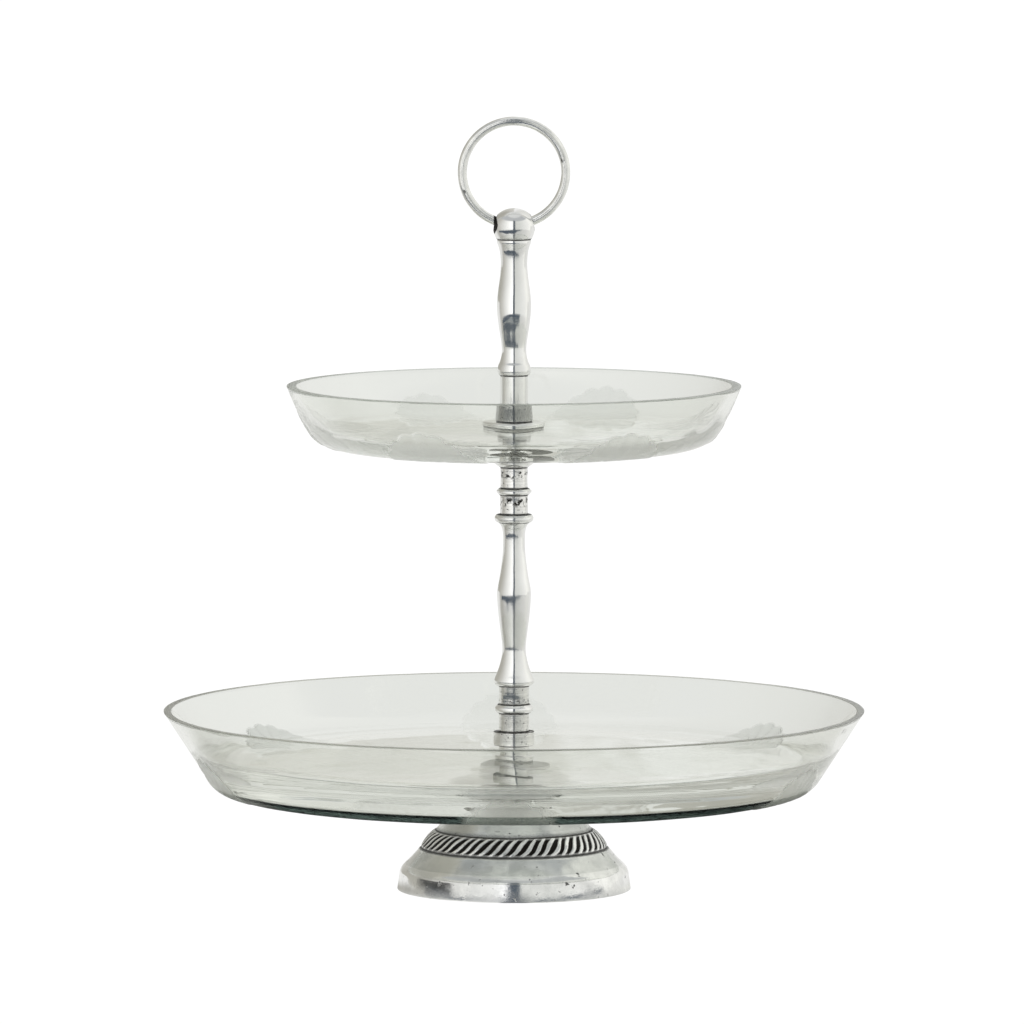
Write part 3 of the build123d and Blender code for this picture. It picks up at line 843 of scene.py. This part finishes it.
def studio_world():
    """White for the camera. For reflections: walls, a dim ceiling in front, and darkness below the panels."""
    world = bpy.data.worlds.new("studio")
    bpy.context.scene.world = world
    n = Nodes("studio", world)
    azimuth, z = azimuth_of(n, n.add("ShaderNodeTexCoord").outputs["Generated"])
    height = n.math("ARCSINE", z)

    def between(value, low, high, soft):
        up = n.remap(value, math.radians(low - soft), math.radians(low + soft))
        down = n.remap(value, math.radians(high - soft), math.radians(high + soft), 1.0, 0.0)
        return n.math("MULTIPLY", up, down)

    def window(az_low, az_high, el_low, el_high, soft):
        across = between(azimuth, az_low, az_high, soft)
        return n.math("MULTIPLY", across, between(height, el_low, el_high, soft))

    room = n.mix(between(height, 60, 100, 9), wall_colour(n, azimuth), rgb(0.74, 0.75, 0.74))
    room = n.mix(window(-100, 100, 41, 68, 5), room, rgb(0.52, 0.535, 0.545))
    room = n.mix(window(-100, 100, -60, 5, 1.5), room, DARKNESS)
    room = n.mix(window(-6, 6, 0, 46, 1.2), room, DARKNESS)
    behind = n.remap(n.math("ABSOLUTE", azimuth), math.radians(125), math.radians(160))
    clear_view = n.mix(behind, rgb(0.3, 0.32, 0.3), rgb(0.835, 0.84, 0.822))
    sky = n.mix(n.not_mirrored(), room, clear_view)
    sky = n.mix(n.add("ShaderNodeLightPath").outputs["Is Camera Ray"], sky, rgb(1.0, 1.0, 1.0))
    background = n.add("ShaderNodeBackground", {"Color": sky, "Strength": 1.0})
    n.tree.links.new(background.outputs[0], n.add("ShaderNodeOutputWorld").inputs[0])


def soft_panel(name, az_low, az_high):
    """Curved light panel in front of the stand, with a bottom edge just above the table's height."""
    turn = np.radians(np.linspace(az_low, az_high, 24)) + FRONT
    x, y = PANEL_RADIUS * np.cos(turn), PANEL_RADIUS * np.sin(turn)
    foot_line = np.stack([x, y, 0 * turn + PANEL_LOW], axis=1)
    top_line = foot_line + (0, 0, PANEL_HIGH - PANEL_LOW)
    k = np.arange(len(turn) - 1)
    faces = np.stack([k, k + 1, k + 1 + len(turn), k + len(turn)], axis=1)
    panel = mesh_object(name, np.vstack([foot_line, top_line]), faces)
    n = Nodes(f"{name}_light")
    azimuth, _ = azimuth_of(n, n.object_coordinates())
    n.glow(wall_colour(n, azimuth))
    panel.data.materials.append(n.owner)
    hide_from(panel, "camera", "shadow")


def paper(name, corners, brightness, base, one_sided=False):
    """A flat card of one shade that also glows. A one-sided card is seen only from the side of its normal."""
    card = mesh_object(name, np.array(corners), np.array([range(len(corners))]))
    n = Nodes(f"{name}_paper")
    shown = 1.0
    if one_sided:
        shown = n.math("SUBTRACT", 1.0, n.add("ShaderNodeNewGeometry").outputs["Backfacing"])
    n.surface(Base_Color=rgb(base, base, base), Roughness=0.9, Emission_Color=rgb(1, 1, 1),
              Emission_Strength=brightness, Alpha=shown)
    card.data.materials.append(n.owner)
    return card


def hide_from(card, *rays):
    for ray in rays:
        setattr(card, f"visible_{ray}", False)


def table():
    """The table for every ray but the camera's. Straight through the glass it is bright; in mirror images
    it takes the walls' colours, with a dark stripe towards the front. Its front edge is uneven."""
    degrees = np.linspace(-95, 95, 77)
    turn = np.radians(degrees)
    edge_r = TABLE_RADIUS + 0.3 * ease(5, 25, degrees) + 0.5 * ease(30, 60, degrees)
    edge_r = edge_r + 0.3 * ease(40, 95, -degrees) + 0.02 * np.sin(9 * turn)
    edge = np.stack([edge_r * np.sin(turn), -edge_r * np.cos(turn)], axis=1)
    back = np.array([(9, 0.05), (9, 14), (-9, 14), (-9, 0.05)])
    corners = np.vstack([edge, back])
    corners = np.column_stack([corners, np.full(len(corners), -0.0003)])
    card = mesh_object("table", corners, np.array([range(len(corners))]))
    n = Nodes("table_paper")
    azimuth, _ = azimuth_of(n, n.object_coordinates())
    aside = n.math("ABSOLUTE", azimuth)
    mirrored = n.mix(n.remap(aside, math.radians(95), math.radians(130)), wall_colour(n, azimuth, 0.8),
                     rgb(0.86, 0.86, 0.84))
    mirrored = n.mix(n.remap(aside, math.radians(5), math.radians(9)), rgb(0.2, 0.21, 0.22), mirrored)
    n.glow(n.mix(n.not_mirrored(), mirrored, rgb(0.85, 0.855, 0.84)))
    card.data.materials.append(n.owner)
    hide_from(card, "camera", "shadow")


def shade_under_the_dish():
    """Dark card close under the front of the lower dish, which only reflections in the dish show."""
    turn = np.radians(np.linspace(-80, 80, 33))
    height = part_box("lower_plate")[0][2] - 0.0012
    ring = [(0.155 * math.sin(a), -0.155 * math.cos(a), height) for a in turn]
    ring += [(0.100 * math.sin(a), -0.100 * math.cos(a), height) for a in turn[::-1]]
    shade = paper("shade_under_the_dish", ring, 0.02, 0.0, one_sided=True)
    hide_from(shade, "camera", "transmission", "diffuse", "shadow")


def studio():
    """White floor for the camera, a table for the other rays, light panels and two dark cards."""
    studio_world()
    soft_panel("panel_left", -100, -6)
    soft_panel("panel_right", 6, 100)
    floor = [(x, y, -0.0002) for x, y in ((-9, -9), (9, -9), (9, 14), (-9, 14))]
    seen = paper("floor", floor, 1.0, 0.0)
    hide_from(seen, "transmission", "glossy", "diffuse", "shadow")
    table()
    shade_under_the_dish()
    card = paper("dark_card", [(-0.23, -0.14, 0.014), (-0.27, 0.06, 0.014), (-0.27, 0.06, 0.05),
                               (-0.23, -0.14, 0.05)], 0.02, 0.05)
    hide_from(card, "camera", "transmission", "diffuse", "shadow")


def camera():
    data = bpy.data.cameras.new("camera")
    data.sensor_width = 36
    data.lens = LENS
    data.clip_end = 100
    eye = bpy.data.objects.new("camera", data)
    eye.location = EYE
    eye.rotation_euler = (Vector(TARGET) - eye.location).to_track_quat("-Z", "Y").to_euler()
    bpy.context.scene.collection.objects.link(eye)
    bpy.context.scene.camera = eye


def light_paths():
    """Enough bounces for a ray to cross both walls of both dishes; plain colours."""
    scene = bpy.context.scene
    scene.cycles.max_bounces = 48
    scene.cycles.transmission_bounces = 48
    scene.cycles.glossy_bounces = 40
    scene.cycles.diffuse_bounces = 4
    scene.view_settings.view_transform = "Standard"


# ---------------------------------------------------------------- the scene

polished, turned, glass = polished_metal(), turned_metal(), clear_glass()
column(polished, turned)
clamp_and_handle(polished, turned)
finial_ball(polished)
carrying_ring(plain_metal("ring_wire", (0.95, 0.95, 0.93), 0.26, 0.16))
foot(cast_metal())
lower_dish(glass)
upper_dish(glass)
finish_cad_nodes(plain_metal("zinc_steel", (0.7, 0.7, 0.7), 0.35, 0.2), pale_silicone())
studio()
camera()
light_paths()
